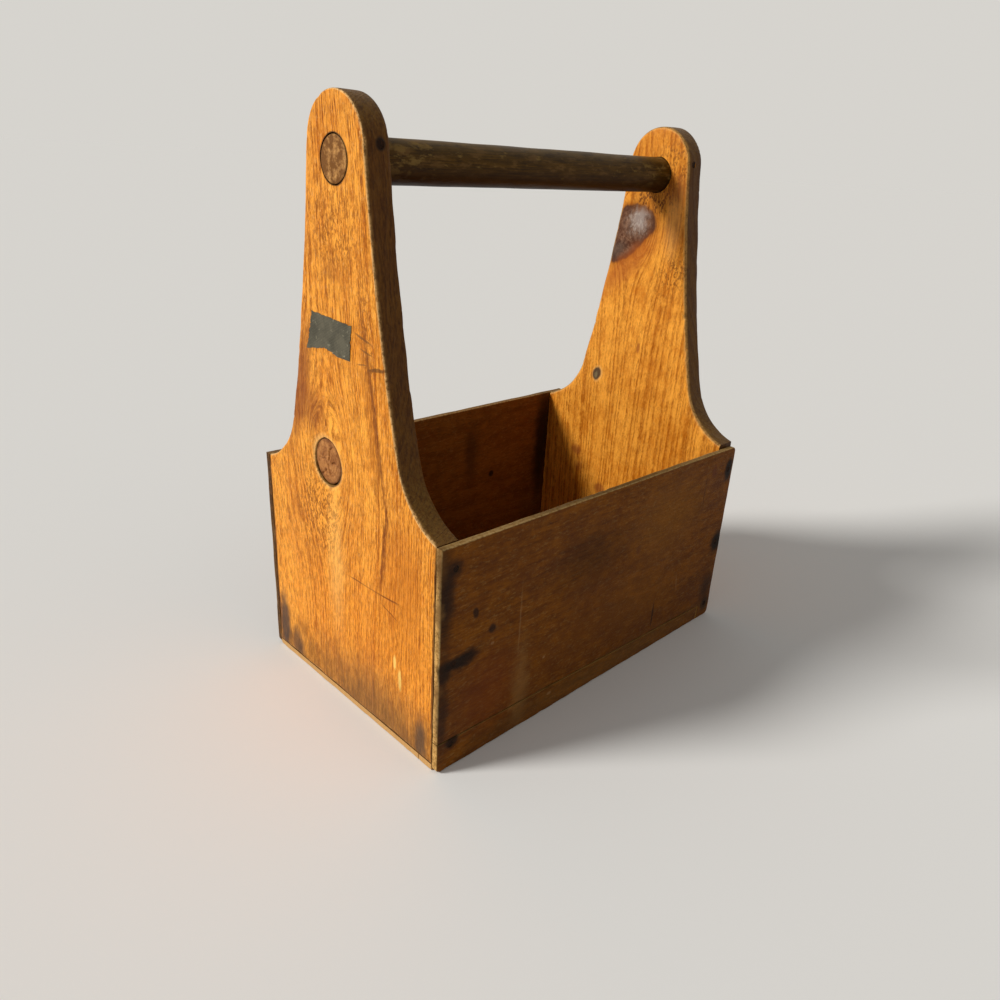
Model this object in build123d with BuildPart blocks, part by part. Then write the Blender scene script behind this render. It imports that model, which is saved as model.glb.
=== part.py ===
from build123d import *
from math import cos, radians, sin, sqrt
import os

# A carpenter's open wooden tote: two thick shaped end boards, thin side boards nailed over their
# edges, a thin floor nailed up under them, and a round handle that goes right through both ends.
# X runs along the handle, +Y from the front side to the back, +Z up. The origin is on the ground,
# under the middle of the tote. All sizes are in millimetres and all angles in degrees.

# ---- Box ---------------------------------------------------------------------------------------
overall_length = 312.0
overall_width = 197.0
end_board_thickness = 18.0
side_board_thickness = 5.0
side_board_height = 160.0
floor_thickness = 5.0
side_seat_gap = 0.3  # open joint between a side board and the edges of the end boards and floor

# ---- Outline of the end boards -----------------------------------------------------------------
head_centre_height = 363.0
head_radius = 28.0
cove_radius = 53.0
cove_start_slope = 17.0  # rise of the cove where it leaves the side board's top edge
cove_end_slope = 75.5  # rise of the cove where the long neck begins
neck_end_lean = 6.0  # lean of the neck where it runs into the round head
outer_arris_round = 1.2  # worn edge of the curved outline, on the outer face
inner_arris_round = 2.6  # the same edge on the inner face, where the hand rubs
foot_arris_round = 0.8

# ---- Handle ------------------------------------------------------------------------------------
handle_diameter = 25.4
handle_below_head_centre = 6.5
handle_hole_clearance = 0.25  # all round, between the handle and its hole
handle_end_round = 0.8

# ---- Side boards -------------------------------------------------------------------------------
front_top_drop = 3.0  # the front board's top edge is this much lower at its right end
side_arris_round = 1.0
side_corner_round = 4.0
split_left_height = 23.0  # the split along the front board's foot, at the left end
split_right_height = 13.0  # and where it stops, near the right end
split_end_margin = 18.0  # sound wood between the end of the split and the right end
split_gap = 0.35

# ---- Floor -------------------------------------------------------------------------------------
floor_strip_width = 13.0
floor_joint_gap = 0.4
floor_end_round = 1.0

# ---- Nails -------------------------------------------------------------------------------------
nail_head_diameter = 4.6
nail_head_thickness = 0.9
nail_shank_diameter = 2.2
nail_point_length = 3.5
nail_head_sink = 0.25
nail_hole_clearance = 0.05  # all round, so that neighbouring solids never share space
side_nail_length = 32.0
handle_nail_length = 45.0
floor_nail_length = 32.0
left_nail_inset = 11.0  # from the end of the side board
right_nail_inset = 8.0
left_foot_nail_height = 18.5
right_foot_nail_height = 12.5
middle_nail_height = 80.0
right_middle_nail_drop = 7.0  # below the middle nail at the left end
left_top_nail_drop = 15.0  # below the side board's top edge
right_top_nail_drop = 21.0
handle_nail_inset = 11.0  # from the outer face of the end board
handle_nail_cover = 4.2  # wood left between the nail's centre and the top of the handle
floor_nail_inset = 4.5  # from the outer face of the end board
floor_nail_margin = 12.0  # from the long edges of the wide floor board
floor_nail_count = 4

# ---- Loose knot in the left end board ----------------------------------------------------------
knot_width = 29.0
knot_height = 30.6
knot_offset = 17.0  # from the middle of the board, towards the back
knot_centre_height = 177.0
knot_tilt = 20.0
knot_gap = 0.5  # all round, before the shrunken knot settled up and back in its hole
knot_touch_gap = 0.15  # what is left of the gap on that side
knot_recess = 0.6
knot_face_round = 1.0
knot_hole_round = 0.7

# ---- Cloth tape patch on the left end board ----------------------------------------------------
patch_thickness = 0.3
patch_front_edge = -14.0  # from the middle of the board
patch_foot_height = 248.5
patch_height = 21.0
patch_top_width = 42.0
patch_foot_width = 47.0
patch_foot_shift = 2.4  # the foot starts this much further back than the top
patch_top_rise = 2.2  # the torn edges rise or dip by these amounts
patch_foot_dip = 1.0
patch_notch_start = 13.0
patch_notch_end = 26.0
patch_notch_rise = 2.6

# ---- Worked out from the sizes above -----------------------------------------------------------
half_length = overall_length / 2
half_width = overall_width / 2
inner_end = half_length - end_board_thickness
board_half_width = half_width - side_board_thickness - side_seat_gap
handle_height = head_centre_height - handle_below_head_centre
handle_radius = handle_diameter / 2
handle_nail_height = handle_height + handle_radius - handle_nail_cover
left_nail_heights = (
    left_foot_nail_height,
    middle_nail_height,
    side_board_height - left_top_nail_drop,
)
right_nail_heights = (
    right_foot_nail_height,
    middle_nail_height - right_middle_nail_drop,
    side_board_height - right_top_nail_drop,
)
handle_nail_edge = -sqrt(head_radius**2 - (handle_nail_height - head_centre_height) ** 2)
floor_strip_edge = floor_strip_width - board_half_width
floor_board_edge = floor_strip_edge + floor_joint_gap
knot_shift = (knot_gap - knot_touch_gap) * sqrt(0.5)
from_seat = (Align.CENTER, Align.CENTER, Align.MIN)


def driven_nail(seat, length):
    """Head, shank and point of one nail, driven from its seat along the seat's own Z axis."""
    shank_length = length - nail_head_thickness - nail_point_length
    with Locations(seat):
        Cylinder(nail_head_diameter / 2, nail_head_thickness, align=from_seat)
    with Locations(seat.offset(nail_head_thickness)):
        Cylinder(nail_shank_diameter / 2, shank_length, align=from_seat)
    with Locations(seat.offset(nail_head_thickness + shank_length)):
        Cone(nail_shank_diameter / 2, nail_shank_diameter / 8, nail_point_length, align=from_seat)


def nail_hole(seat, length):
    """The hole that a nail made for itself, open above its head."""
    head_room = 2 * (nail_head_sink + nail_head_thickness)
    with Locations(seat.offset(nail_head_thickness + nail_hole_clearance - head_room)):
        Cylinder(
            nail_head_diameter / 2 + nail_hole_clearance,
            head_room,
            align=from_seat,
            mode=Mode.SUBTRACT,
        )
    with Locations(seat):
        Cylinder(
            nail_shank_diameter / 2 + nail_hole_clearance,
            length + nail_hole_clearance,
            align=from_seat,
            mode=Mode.SUBTRACT,
        )


def side_nail_seats(facing, end):
    """Seats of the nails through one end of one side board: facing is -1 on the front board."""
    inset = left_nail_inset if end < 0 else right_nail_inset
    heights = left_nail_heights if end < 0 else right_nail_heights
    x = end * (half_length - inset)
    y = facing * (half_width - nail_head_sink)
    return [Plane(origin=(x, y, z), z_dir=(0, -facing, 0)) for z in heights]


def floor_nail_seats(end):
    """Seats of the nails driven up through the floor into one end board."""
    x = end * (half_length - floor_nail_inset)
    first = floor_board_edge + floor_nail_margin
    step = (board_half_width - floor_nail_margin - first) / (floor_nail_count - 1)
    rows = [floor_strip_edge - floor_strip_width / 2]
    rows += [first + step * number for number in range(floor_nail_count)]
    return [Plane(origin=(x, y, nail_head_sink), z_dir=(0, 0, 1)) for y in rows]


def handle_nail_seat(end):
    """Seat of the nail through the front edge of one end board and on through the handle."""
    x = end * (half_length - handle_nail_inset)
    return Plane(origin=(x, handle_nail_edge + nail_head_sink, handle_nail_height), z_dir=(0, 1, 0))


def save(piece, label):
    """Name one finished piece and write it."""
    piece.part.label = label
    export_step(piece.part, f"parts/{label}.step")


def nail_group(seats, length):
    """Nails of one kind, each a solid of its own."""
    with BuildPart() as nails:
        for seat in seats:
            driven_nail(seat, length)
    return nails


def end_board(end):
    """One end board: straight sides, a cove at each shoulder, a long neck and a round head."""
    lean = radians(neck_end_lean)
    with BuildPart() as board:
        with BuildSketch(Plane.YZ.offset(min(end * half_length, end * inner_end))) as outline:
            with BuildLine():
                foot = Polyline(
                    (0, floor_thickness),
                    (board_half_width, floor_thickness),
                    (board_half_width, side_board_height),
                )
                cove = JernArc(
                    start=foot @ 1,
                    tangent=(-cos(radians(cove_start_slope)), sin(radians(cove_start_slope))),
                    radius=cove_radius,
                    arc_size=cove_start_slope - cove_end_slope,
                )
                head = CenterArc(
                    (0, head_centre_height), head_radius, neck_end_lean, 90 - neck_end_lean
                )
                Spline(cove @ 1, head @ 0, tangents=(cove % 1, (-sin(lean), cos(lean))))
                mirror(about=Plane.YZ)
            make_face()
        extrude(amount=end_board_thickness)

        for face_place, arris_round in ((0, inner_arris_round), (-1, outer_arris_round)):
            face = board.faces().sort_by(Axis((0, 0, 0), (end, 0, 0)))[face_place]
            curved = face.edges().filter_by_position(
                Axis.Z, side_board_height + arris_round, head_centre_height + 2 * head_radius
            )
            fillet(curved, arris_round)
        outer_face = board.faces().sort_by(Axis((0, 0, 0), (end, 0, 0)))[-1]
        fillet(outer_face.edges().sort_by(Axis.Z)[0], foot_arris_round)

        with BuildSketch(outline.workplanes[0]):
            with Locations((0, handle_height)):
                Circle(handle_radius + handle_hole_clearance)
        extrude(amount=end_board_thickness, mode=Mode.SUBTRACT)

        for facing in (-1, 1):
            for seat in side_nail_seats(facing, end):
                nail_hole(seat, side_nail_length)
        for seat in floor_nail_seats(end):
            nail_hole(seat, floor_nail_length)
        nail_hole(handle_nail_seat(end), handle_nail_length)
    return board


os.makedirs("parts", exist_ok=True)

# ---- End boards --------------------------------------------------------------------------------
right_end_board = end_board(1)
save(right_end_board, "right_end_board")

with BuildPart() as left_end_board:
    add(end_board(-1).part)
    with BuildSketch(Plane.YZ.offset(-half_length)):
        with Locations((knot_offset, knot_centre_height)):
            Ellipse(knot_width / 2 + knot_gap, knot_height / 2 + knot_gap, rotation=knot_tilt)
    extrude(amount=end_board_thickness, mode=Mode.SUBTRACT)
    knot_rim = left_end_board.edges().filter_by(GeomType.ELLIPSE).sort_by(Axis.X)[0]
    fillet(knot_rim, knot_hole_round)
save(left_end_board, "left_end_board")

# ---- Loose knot: a plug of dark wood, a little sunk below the outer face --------------------------
with BuildPart() as loose_knot:
    with BuildSketch(Plane.YZ.offset(knot_recess - half_length)):
        with Locations((knot_offset + knot_shift, knot_centre_height + knot_shift)):
            Ellipse(knot_width / 2, knot_height / 2, rotation=knot_tilt)
    extrude(amount=end_board_thickness - knot_recess)
    fillet(loose_knot.edges().filter_by(GeomType.ELLIPSE), knot_face_round)
save(loose_knot, "loose_knot")

# ---- Tape patch: a torn scrap stuck flat on the outer face of the left end board -----------------
with BuildPart() as tape_patch:
    with BuildSketch(Plane.YZ.offset(-half_length)):
        with BuildLine():
            patch_top = patch_foot_height + patch_height
            foot_start = patch_front_edge + patch_foot_shift
            Polyline(
                (patch_front_edge, patch_top),
                (patch_front_edge + patch_top_width, patch_top + patch_top_rise),
                (foot_start + patch_foot_width, patch_foot_height - patch_foot_dip),
                (foot_start + patch_notch_end, patch_foot_height + patch_notch_rise),
                (foot_start + patch_notch_start, patch_foot_height),
                (foot_start, patch_foot_height),
                close=True,
            )
        make_face()
    extrude(amount=-patch_thickness)
save(tape_patch, "tape_patch")

# ---- Handle ------------------------------------------------------------------------------------
with BuildPart() as carrying_handle:
    with BuildSketch(Plane.YZ.offset(-half_length)):
        with Locations((0, handle_height)):
            Circle(handle_radius)
    extrude(amount=overall_length)
    fillet(carrying_handle.edges().filter_by(GeomType.CIRCLE), handle_end_round)
    for end in (-1, 1):
        nail_hole(handle_nail_seat(end), handle_nail_length)
save(carrying_handle, "carrying_handle")

# ---- Front side: one thin board, split along its foot --------------------------------------------
split_end = half_length - split_end_margin
with BuildPart() as front_side_board:
    with BuildSketch(Plane.XZ.offset(half_width)) as front_outline:
        with BuildLine():
            Polyline(
                (-half_length, split_left_height),
                (split_end, split_right_height),
                (split_end, 0),
                (half_length, 0),
                (half_length, side_board_height - front_top_drop),
                (-half_length, side_board_height),
                close=True,
            )
        make_face()
        fillet(front_outline.vertices().group_by(Axis.X)[-1], side_corner_round)
    extrude(amount=-side_board_thickness)
    fillet(front_side_board.faces().sort_by(Axis.Y)[0].edges(), side_arris_round)
    fillet(front_side_board.faces().sort_by(Axis.Y)[-1].edges().sort_by(Axis.Z)[-1], side_arris_round)
    for end in (-1, 1):
        for seat in side_nail_seats(-1, end):
            nail_hole(seat, side_nail_length)
save(front_side_board, "front_side_board")

with BuildPart() as front_split_strip:
    with BuildSketch(Plane.XZ.offset(half_width)) as strip_outline:
        with BuildLine():
            Polyline(
                (-half_length, 0),
                (split_end - split_gap, 0),
                (split_end - split_gap, split_right_height - split_gap),
                (-half_length, split_left_height - split_gap),
                close=True,
            )
        make_face()
        fillet(strip_outline.vertices().group_by(Axis.X)[0].sort_by(Axis.Y)[0], side_corner_round)
    extrude(amount=-side_board_thickness)
    fillet(front_split_strip.faces().sort_by(Axis.Y)[0].edges(), side_arris_round)
    for seat in side_nail_seats(-1, -1):
        nail_hole(seat, side_nail_length)
save(front_split_strip, "front_split_strip")

# ---- Back side: one whole thin board -------------------------------------------------------------
with BuildPart() as back_side_board:
    with BuildSketch(Plane.XZ.offset(-half_width)) as back_outline:
        with Locations((0, side_board_height / 2)):
            Rectangle(overall_length, side_board_height)
        fillet(back_outline.vertices().group_by(Axis.Y)[0], side_corner_round)
    extrude(amount=side_board_thickness)
    fillet(back_side_board.faces().sort_by(Axis.Y)[-1].edges(), side_arris_round)
    fillet(back_side_board.faces().sort_by(Axis.Y)[0].edges().sort_by(Axis.Z)[-1], side_arris_round)
    for end in (-1, 1):
        for seat in side_nail_seats(1, end):
            nail_hole(seat, side_nail_length)
save(back_side_board, "back_side_board")


# ---- Floor: a wide board and a narrow one, under both end boards ---------------------------------
def floor_piece(front_edge, back_edge):
    """One floor board, from its front edge to its back edge, with the nail holes it needs."""
    with BuildPart() as piece:
        with BuildSketch():
            with Locations((0, (front_edge + back_edge) / 2)):
                Rectangle(overall_length, back_edge - front_edge)
        extrude(amount=floor_thickness)
        foot_ends = piece.edges().filter_by(Axis.Y).group_by(Axis.Z)[0]
        fillet(foot_ends, floor_end_round)
        for end in (-1, 1):
            for seat in floor_nail_seats(end):
                nail_hole(seat, floor_nail_length)
    return piece


save(floor_piece(floor_board_edge, board_half_width), "floor_board")
save(floor_piece(-board_half_width, floor_strip_edge), "floor_strip")

# ---- Nails -------------------------------------------------------------------------------------
for end, end_name in ((-1, "left"), (1, "right")):
    for facing, side_name in ((-1, "front"), (1, "back")):
        nails = nail_group(side_nail_seats(facing, end), side_nail_length)
        save(nails, f"{side_name}_{end_name}_nails")
    save(nail_group(floor_nail_seats(end), floor_nail_length), f"{end_name}_floor_nails")
    save(nail_group([handle_nail_seat(end)], handle_nail_length), f"{end_name}_handle_nail")
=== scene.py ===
"""A carpenter's open tote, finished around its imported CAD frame.

The tote is old softwood: two thick pine end boards gone amber under shellac, thin side boards
browned by handling, a thin floor, and a hardwood dowel as handle. Boards that show their age in
their shape are worn copies of their CAD nodes; the nails keep the CAD shape and get a finish.
"""

import logging
import math
from collections.abc import Sequence
from dataclasses import dataclass
from enum import Enum

import bmesh
import bpy
from mathutils import Matrix, Vector, noise
from mathutils.kdtree import KDTree


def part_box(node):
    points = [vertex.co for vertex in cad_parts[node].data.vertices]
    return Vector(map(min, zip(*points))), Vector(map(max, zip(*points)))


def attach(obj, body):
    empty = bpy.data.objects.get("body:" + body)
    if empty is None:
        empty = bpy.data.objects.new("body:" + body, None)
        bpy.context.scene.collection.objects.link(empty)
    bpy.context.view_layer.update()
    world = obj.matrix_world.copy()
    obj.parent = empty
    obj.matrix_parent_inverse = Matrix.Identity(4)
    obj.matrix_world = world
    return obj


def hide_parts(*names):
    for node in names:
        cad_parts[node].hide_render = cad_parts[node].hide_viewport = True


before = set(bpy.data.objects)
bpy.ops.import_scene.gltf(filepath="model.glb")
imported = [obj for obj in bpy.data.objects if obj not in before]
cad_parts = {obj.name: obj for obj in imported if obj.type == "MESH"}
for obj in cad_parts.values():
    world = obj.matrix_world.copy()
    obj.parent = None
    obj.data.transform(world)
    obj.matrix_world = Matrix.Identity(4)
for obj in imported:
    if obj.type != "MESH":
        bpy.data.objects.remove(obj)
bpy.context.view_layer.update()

LOG = logging.getLogger("tote")
BODY = "root"
NAILS = [node for name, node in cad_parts.items() if name.endswith(("nail", "nails"))]
ARRIS = "arris"  # the mesh attribute that says how near a point is to a rubbed arris
MM = 0.001
MM_PER_METRE = 1000.0
WELD = 0.002 * MM  # corners of loose triangles this close are one point
SLIVER = 0.12 * MM  # points this close after the cuts would leave slivers
SNAP = 0.001 * MM  # a cut goes through a point this close instead of beside it
FLAT_ANGLE = math.radians(0.4)
SHARP_ANGLE = math.radians(38)
ARRIS_TURN = 0.7  # how much the slants of two faces differ where they meet at an arris
ARRIS_SLANTS = (0.12, 0.97)  # the slants between which a point lies on a rounded arris
ENDLESS = 1e6  # a half size that a pattern never comes to the end of
MARK_DEPTH = 3.0  # how far a mark reaches from its face, in millimetres

Socket = bpy.types.NodeSocket
Rgba = tuple[float, float, float, float]
Value = Socket | Sequence[float] | float | str | None


def linear(code: str) -> Rgba:
    """Turn an sRGB hex colour to linear light.

    Args:
        code: six hex digits with a leading hash.

    Returns:
        Red, green, blue and an alpha of one.
    """
    parts = [int(code[place : place + 2], 16) / 255 for place in (1, 3, 5)]
    light = [part / 12.92 if part <= 0.04045 else ((part + 0.055) / 1.055) ** 2.4 for part in parts]
    return (light[0], light[1], light[2], 1.0)


def grey(level: float) -> Rgba:
    """A ramp colour that stands for a plain number."""
    return (level, level, level, 1.0)


# How dark a year's growth is from its pale spring wood to the end of its latewood.
LATEWOOD = (
    (0.0, grey(0.04)), (0.38, grey(0.1)), (0.66, grey(0.85)), (0.86, grey(1.0)), (1.0, grey(0.0)))
# How much of an arris a face is, by how squarely it looks through the board.
SLANT = ((0.0, grey(0)), (0.06, grey(0.2)), (0.3, grey(1)), (0.93, grey(1)), (0.99, grey(0)))


class Grain(Enum):
    """Which object axes run across the grain, through the board and along the grain."""

    UPRIGHT = (1, 0, 2)
    SIDEWAYS = (2, 1, 0)
    FLAT = (1, 2, 0)


class Kind(Enum):
    """How the pigment of a mark lies in the wood."""

    STAIN = "soaked in, with a soft edge"
    SPECKLE = "broken into small spots"
    STREAK = "drawn out along the fibres"


@dataclass(frozen=True)
class Mark:
    """One stain, spot or scratch: an ellipse on one face of a board, in millimetres.

    A mark on an edge of the board gives its own depth in the thickness.
    """

    across: float
    along: float
    half_across: float
    half_along: float
    colour: str
    strength: float
    ragged: float
    soft: float = 0.35
    turn: float = 0.0
    kind: Kind = Kind.STAIN
    depth: float | None = None


@dataclass(frozen=True)
class Knot:
    """A branch base that the grain flows round, in millimetres."""

    across: float
    along: float
    half_across: float
    half_along: float
    reach: float = 1.4
    stretch: float = 2.0
    turn: float = 0.0
    shows: bool = True
    colour: str = "#4a2412"
    heart: str = "#7c4a2c"


@dataclass(frozen=True)
class Rings:
    """The growth rings of the tree that the board was sawn from, in millimetres and degrees."""

    pith_across: float
    pith_depth: float
    spacing: float
    lean_across: float = 0.0
    lean_depth: float = 1.5


# The setting that a node's choice stands for.
CHOICES = {"Math": "operation", "VectorMath": "operation", "Mix": "data_type",
           "Mapping": "vector_type", "MapRange": "interpolation_type",
           "TexNoise": "noise_dimensions", "TexWhiteNoise": "noise_dimensions"}


class Recipe:
    """The node tree of one finish, built up through a single way of adding nodes."""

    def __init__(self, owner: bpy.types.Material | bpy.types.World) -> None:
        """Start with an empty tree.

        Args:
            owner: the material or world that the tree is for.
        """
        self.owner = owner
        owner.use_nodes = True
        self.tree = owner.node_tree
        self.tree.nodes.clear()

    def add(self, kind: str, *values: Value, stops: Sequence[tuple[float, Rgba]] = (),
            **named: Value) -> Socket | None:
        """Add a node with its settings and links.

        Args:
            kind: the node's type, without its ShaderNode prefix, and its choice where it has one.
            *values: sockets or plain values for the inputs in use, in order; None skips one.
            stops: a ramp's positions and colours.
            **named: inputs by name where the first letter is a capital, and settings otherwise.

        Returns:
            The node's first output in use, or None for an output node.
        """
        kind, _, choice = kind.partition(" ")
        node = self.tree.nodes.new("ShaderNode" + kind)
        if choice:
            setattr(node, CHOICES[kind], choice)
        for name in [name for name in named if name[0].islower()]:
            setattr(node, name, named.pop(name))
        for number, (place, colour) in enumerate(stops):
            ramp = node.color_ramp.elements
            element = ramp[number] if number < len(ramp) else ramp.new(place)
            element.position, element.color = place, colour
        inputs = [socket for socket in node.inputs if socket.enabled]
        pairs = list(zip(inputs, values))
        pairs += [(node.inputs[name.replace("_", " ")], value) for name, value in named.items()]
        for socket, value in pairs:
            if isinstance(value, Socket):
                self.tree.links.new(value, socket)
            elif value is not None:
                socket.default_value = value
        return next((socket for socket in node.outputs if socket.enabled), None)

    def surface(self) -> tuple[Socket, Socket]:
        """Read where a point of the piece is and which way it faces.

        Returns:
            The point in millimetres, so that a noise's scale is one over its grain, and the normal.
        """
        place = self.add("TexCoord").node.outputs
        point = self.add("VectorMath SCALE", place["Object"], Scale=MM_PER_METRE)
        return point, place["Normal"]

    def close(self, colour: Socket, relief: Socket, depth: float,
              **gloss: Value) -> bpy.types.Material:
        """Join the colour and the relief in the shader.

        Args:
            colour: the surface's colour.
            relief: its height, in parts of the depth.
            depth: the relief's depth, in millimetres.
            **gloss: the shader's other inputs.

        Returns:
            The finished material.
        """
        bump = self.add("Bump", Strength=1.0, Distance=depth * MM, Height=relief)
        self.add("OutputMaterial",
                 self.add("BsdfPrincipled", Base_Color=colour, Normal=bump, **gloss))
        return self.owner


@dataclass(frozen=True)
class BoardFinish:
    """Sawn and planed softwood, aged under worn shellac.

    The eye reads growth rings as paired lines along the grain, darker and a little proud where the
    latewood is; short resin flecks; amber that deepens in patches; grime near the foot and on the
    edges that hands touch, which on the end boards is darkened further as painted shade; edges that
    look up painted paler, partly settled dirt and partly painted light from above; and pale bare
    wood where the arrises have rubbed, which on the end boards shows only on the side that faces
    the key light, so that it is partly a painted highlight.
    """

    name: str
    grain: Grain
    rings: Rings
    outer_depth: float
    inner_depth: float
    pale: str
    deep: str
    patina: str
    # The edges' tint; on the end boards its dark colour is grime and painted shade together.
    edge: str
    grime: str
    bare: str
    # A paler tint for edges that look up, partly settled dirt and partly painted light from above.
    dust_and_top_light: str = "#6f5526"
    end_wood: str = "#4a3014"
    sway: float = 18.0
    ring_strength: float = 0.78
    tone_start: float = 0.1
    fibre_force: float = 3.0
    strand_force: float = 0.8
    pit_force: float = 1.3
    relief: float = 0.26
    shine: float = 0.1
    patina_amount: float = 0.45
    blotch_amount: float = 0.6
    flake_amount: float = 0.15
    crisp: float = 0.06
    edge_amount: float = 0.9
    end_amount: float = 0.5
    bare_amount: float = 0.8
    # The side whose rubbed arrises show pale, the side that faces the key light, so that paleness
    # is partly a painted highlight; zero shows both sides.
    bare_and_lit_side: int = 0
    bare_from: float = -100.0
    grime_height: float = 34.0
    roughness: float = 0.5
    marks: tuple[Mark, ...] = ()
    inner_marks: tuple[Mark, ...] = ()
    knots: tuple[Knot, ...] = ()

    def build(self) -> bpy.types.Material:
        """Make the material."""
        return BoardRecipe(self).build()


class BoardRecipe(Recipe):
    """The nodes of one board's finish, from the grain up to the last scratch."""

    def __init__(self, finish: BoardFinish) -> None:
        """Find the point in the board, and the random patterns there that several layers share.

        Args:
            finish: the board's colours and amounts.
        """
        super().__init__(bpy.data.materials.new(finish.name))
        self.finish = finish
        add = self.add
        self.axes, self.facing = [add("SeparateXYZ", vector).node.outputs
                                  for vector in self.surface()]
        board = self.board = add("CombineXYZ", *[self.axes[axis] for axis in finish.grain.value])
        wobble = add("VectorMath MULTIPLY", board, (1 / 7, 1 / 7, 1 / 9))
        wobble = add("TexNoise", wobble, Scale=1.0, Detail=3.0, Roughness=0.6)
        self.wobble = add("VectorMath MULTIPLY_ADD", wobble.node.outputs["Color"], (2, 2, 2),
                          (-1, -1, -1))
        self.ring, self.year, line = self.ring_lines()
        # Each with its grains' size across, through and along the board, in millimetres.
        self.grit = {
            name: add("TexNoise", add("VectorMath MULTIPLY", point, [1 / part for part in size]),
                      Scale=1.0, Detail=detail, Roughness=roughness)
            for name, point, size, detail, roughness in (
                ("fibre", line, (1.15, 1.15, 8), 5.0, 0.75),
                ("strand", line, (1.9, 1.9, 90), 2.0, 0.5),
                ("pits", board, (1.3, 1.3, 2.2), 2.0, 0.6),
                ("cloud", board, (38, 38, 70), 5.0, 0.62),
                ("fleck", board, (1.1, 1.1, 6.5), 1.0, 0.5),
                ("blotch", board, (8, 8, 13), 5.0, 0.66),
                ("flake", board, (1.5, 1.5, 4.2), 4.0, 0.7),
                ("soak", board, (6, 6, 26), 5.0, 0.7),
                ("spots", board, (1.4, 1.4, 2.6), 3.0, 0.6),
            )}

    def ring_lines(self) -> tuple[Socket, Socket, Socket]:
        """Draw the growth rings, bent round the knots.

        Returns:
            How dark the latewood is at a point, a chance number for each year, and the point
            moved so that straight lines through it follow the grain.
        """
        add, board, rings, swing = self.add, self.board, self.finish.rings, self.finish.sway
        sway = add("VectorMath MULTIPLY", board, (1 / 60, 1 / 60, 1 / 190))
        sway = add("TexNoise", sway, Scale=1.0, Detail=2.0, Roughness=0.4).node.outputs["Color"]
        sway = add("VectorMath MULTIPLY_ADD", sway, (swing, swing, 0), (-swing / 2, -swing / 2, 0))
        ripple = add("VectorMath MULTIPLY", board, (1 / 9, 1 / 9, 1 / 30))
        ripple = add("TexNoise", ripple, Scale=1.0, Detail=3.0).node.outputs["Color"]
        sway = add("VectorMath MULTIPLY_ADD", ripple, (1.8, 1.8, 0), sway)
        line = add("VectorMath ADD", board, sway)
        for knot in [knot for knot in self.finish.knots if knot.reach]:
            bend = knot.half_across * knot.reach
            near = add("Mapping TEXTURE", board, Location=(knot.across, 0, knot.along),
                       Scale=(bend, ENDLESS, bend * knot.stretch))
            far = add("VectorMath DOT_PRODUCT", near, near)
            far = add("Math MAXIMUM", far, 0.7)
            side = add("Math MULTIPLY", add("SeparateXYZ", near), -bend)
            push = add("CombineXYZ", add("Math DIVIDE", side, far), 0.0, 0.0)
            line = add("VectorMath ADD", line, push)
        trunk = add("Mapping TEXTURE", line, Location=(rings.pith_across, rings.pith_depth, 0),
                    Rotation=(math.radians(rings.lean_depth), math.radians(rings.lean_across), 0))
        trunk = add("VectorMath MULTIPLY", trunk, (1, 1, 0))
        radius = add("VectorMath LENGTH", trunk)
        turns = add("Math DIVIDE", radius, rings.spacing)
        weather = add("TexNoise 1D", W=add("Math MULTIPLY", turns, 0.37), Scale=1.0, Detail=1.0)
        turns = add("Math MULTIPLY_ADD", weather, 2.4, turns)
        phase = add("Math FRACT", turns)
        year = add("TexWhiteNoise 1D", add("Math FLOOR", turns))
        ring = add("Math MULTIPLY", add("ValToRGB", phase, stops=LATEWOOD),
                   add("MapRange", year, 0.0, 1.0, 0.6, 1.0))
        return ring, year, line

    def wood(self) -> Socket:
        """Colour the wood: rings, fibres and pores, and the patches of its old finish.

        Returns:
            The colour.
        """
        add, finish, grit = self.add, self.finish, self.grit
        fade = add("MapRange", grit["cloud"], 0.3, 0.6, 0.45 * finish.ring_strength,
                   finish.ring_strength)
        tone = add("Math MULTIPLY_ADD", self.ring, fade, finish.tone_start)
        for name, force in (("fibre", finish.fibre_force), ("strand", finish.strand_force),
                            ("pits", finish.pit_force)):
            lift = add("Math MULTIPLY_ADD", grit[name], force, -0.5 * force)
            tone = add("Math ADD", tone, lift)
        tone = add("Math ADD", tone, 0.0, use_clamp=True)
        colour = add("Mix RGBA", tone, linear(finish.pale), linear(finish.deep))
        for pattern, start, full, most, tint in (
            (self.year, 0.0, 1.0, 0.22, finish.patina),
            (grit["cloud"], 0.36, 0.72, finish.patina_amount, finish.patina),
            (grit["fleck"], 0.66, 0.74, 0.5, finish.deep),
            (grit["blotch"], 0.5, 0.7, finish.blotch_amount, finish.patina),
            (grit["blotch"], 0.47, 0.3, finish.blotch_amount, finish.pale),
            (grit["flake"], 0.55, 0.66, finish.flake_amount, finish.bare),
        ):
            mask = add("MapRange", pattern, start, full, 0.0, most)
            colour = add("Mix RGBA", mask, colour, linear(tint))
        return colour

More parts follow.
